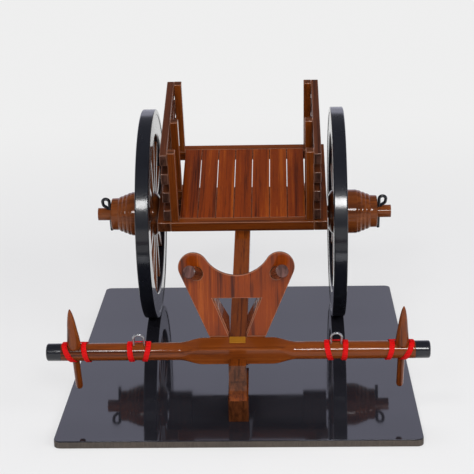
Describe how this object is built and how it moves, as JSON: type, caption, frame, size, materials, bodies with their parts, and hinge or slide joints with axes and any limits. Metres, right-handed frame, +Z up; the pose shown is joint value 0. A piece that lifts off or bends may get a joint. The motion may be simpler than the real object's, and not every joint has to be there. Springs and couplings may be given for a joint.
{
  "type": "wooden bullock cart model on a plinth",
  "caption": "Wooden model bullock cart with spoked wheels that turn, slatted bed, single draught pole and long yoke, parked yoke-down on a black plinth.",
  "frame": {"origin": "centre of the plinth underside", "axes": "+Z up, -Y towards the yoke (front), +X to the right as seen from the front"},
  "size_m": [0.32, 0.4105, 0.2407],
  "materials": {
    "plinth_wood": "raw sawn board edge",
    "plinth_gloss": "black mirror gloss",
    "lacquered_wood": "red-brown wood with dark grain under gloss lacquer",
    "dark_wood": "dark brown lacquered wood",
    "black_paint": "black gloss enamel",
    "wire": "plain steel wire",
    "brass": "satin brass",
    "red_tape": "red cotton tape"
  },
  "bodies": {
    "cart": {"plinth_board": "plinth_wood", "plinth_top": "plinth_gloss", "pole": "lacquered_wood", "cheek_left": "lacquered_wood", "cheek_right": "lacquered_wood", "front_board": "lacquered_wood", "yoke_beam": "lacquered_wood", "yoke_pin_left": "lacquered_wood", "yoke_pin_right": "lacquered_wood", "side_beam_left": "lacquered_wood", "side_beam_right": "lacquered_wood", "front_cross_beam": "lacquered_wood", "rear_cross_beam": "lacquered_wood", "bed_bearer": "lacquered_wood", "floor_planks": "lacquered_wood", "posts_left": "lacquered_wood", "posts_right": "lacquered_wood", "axle_left": "lacquered_wood", "axle_right": "lacquered_wood", "board_peg_left": "dark_wood", "board_peg_right": "dark_wood", "rails_left": "dark_wood", "rails_right": "dark_wood", "axle_beam": "dark_wood", "bolster_left": "dark_wood", "bolster_right": "dark_wood", "yoke_cap_left": "black_paint", "yoke_cap_right": "black_paint", "linchpin_left": "black_paint", "linchpin_right": "black_paint", "rein_loop_left": "wire", "rein_loop_right": "wire", "yoke_strap": "brass", "yoke_ties_left": "red_tape", "yoke_ties_right": "red_tape"},
    "wheel_left": {"tyre_left": "black_paint", "felloe_left": "black_paint", "spokes_left": "lacquered_wood", "hub_left": "lacquered_wood"},
    "wheel_right": {"tyre_right": "black_paint", "felloe_right": "black_paint", "spokes_right": "lacquered_wood", "hub_right": "lacquered_wood"}
  },
  "joints": [
    {"name": "wheel_left_spin", "type": "hinge", "parent": "cart", "child": "wheel_left", "pos_m": [-0.093, 0.1155, 0.1118], "axis": [1, 0, 0], "continuous": true},
    {"name": "wheel_right_spin", "type": "hinge", "parent": "cart", "child": "wheel_right", "pos_m": [0.093, 0.1155, 0.1118], "axis": [1, 0, 0], "continuous": true}
  ]
}
